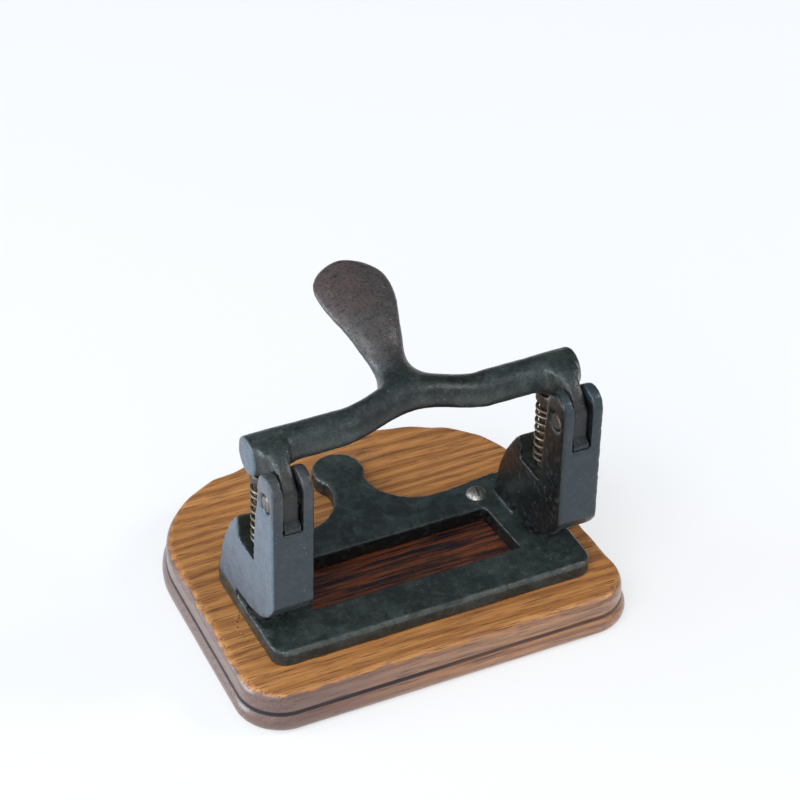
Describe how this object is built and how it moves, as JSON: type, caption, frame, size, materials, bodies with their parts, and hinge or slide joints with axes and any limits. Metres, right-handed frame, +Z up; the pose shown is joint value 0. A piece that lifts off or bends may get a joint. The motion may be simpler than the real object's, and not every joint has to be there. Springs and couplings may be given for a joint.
{
  "type": "lever hole punch",
  "caption": "Lever hole punch: a cast lever with teardrop grip and round cross bar drives sprung punches into dies; iron base with flared paper mouths on a moulded wooden board.",
  "frame": {"origin": "middle of the board's underside, under the middle of the whole object", "axes": "+X along the lever bar to the user's right, +Y from the straight front edge to the bowed back, where the grip points, +Z up"},
  "size_m": [0.1108, 0.0944, 0.085],
  "materials": {
    "oak": "oiled brown oak, moulded edge darkened in the groove",
    "japanned_iron": "green-black japanned casting, pitted and worn at the edges",
    "japanned_iron_lever": "green-black japanned casting, grip worn to brown-grey",
    "pin_steel": "dull bare steel",
    "punch_steel": "ground steel, oiled",
    "cap_steel": "browned steel",
    "die_steel": "ground hardened steel",
    "spring_wire": "tarnished, straw-coloured spring wire",
    "screw_steel": "nickelled, dulled with age"
  },
  "bodies": {
    "base": {"wood_base": "oak", "base_frame": "japanned_iron", "pivot_pin_left": "pin_steel", "pivot_pin_right": "pin_steel", "die_bush_left": "die_steel", "die_bush_right": "die_steel", "base_screw_left": "screw_steel", "base_screw_right": "screw_steel"},
    "lever": {"lever": "japanned_iron_lever"},
    "punch_unit_left": {"punch_left": "punch_steel", "spring_cap_left": "cap_steel", "cap_pin_left": "pin_steel", "return_spring_left": "spring_wire"},
    "punch_unit_right": {"punch_right": "punch_steel", "spring_cap_right": "cap_steel", "cap_pin_right": "pin_steel", "return_spring_right": "spring_wire"}
  },
  "joints": [
    {"name": "lever_press", "type": "hinge", "parent": "base", "child": "lever", "pos_m": [0.0012, -0.02985, 0.0616], "axis": [-1, 0, 0], "range_deg": [0, 30], "stiffness_Nm_per_rad": 0.25, "springref_deg": -34.38},
    {"name": "punch_left_stroke", "type": "slide", "parent": "base", "child": "punch_unit_left", "axis": [0, 0, -1], "range_m": [0, 0.007], "deforming": ["return_spring_left"]},
    {"name": "punch_right_stroke", "type": "slide", "parent": "base", "child": "punch_unit_right", "axis": [0, 0, -1], "range_m": [0, 0.007], "deforming": ["return_spring_right"]}
  ],
  "couplings": [
    {"joint": "punch_left_stroke", "follows": "lever_press", "m_per_rad": 0.0133},
    {"joint": "punch_right_stroke", "follows": "lever_press", "m_per_rad": 0.0133}
  ]
}
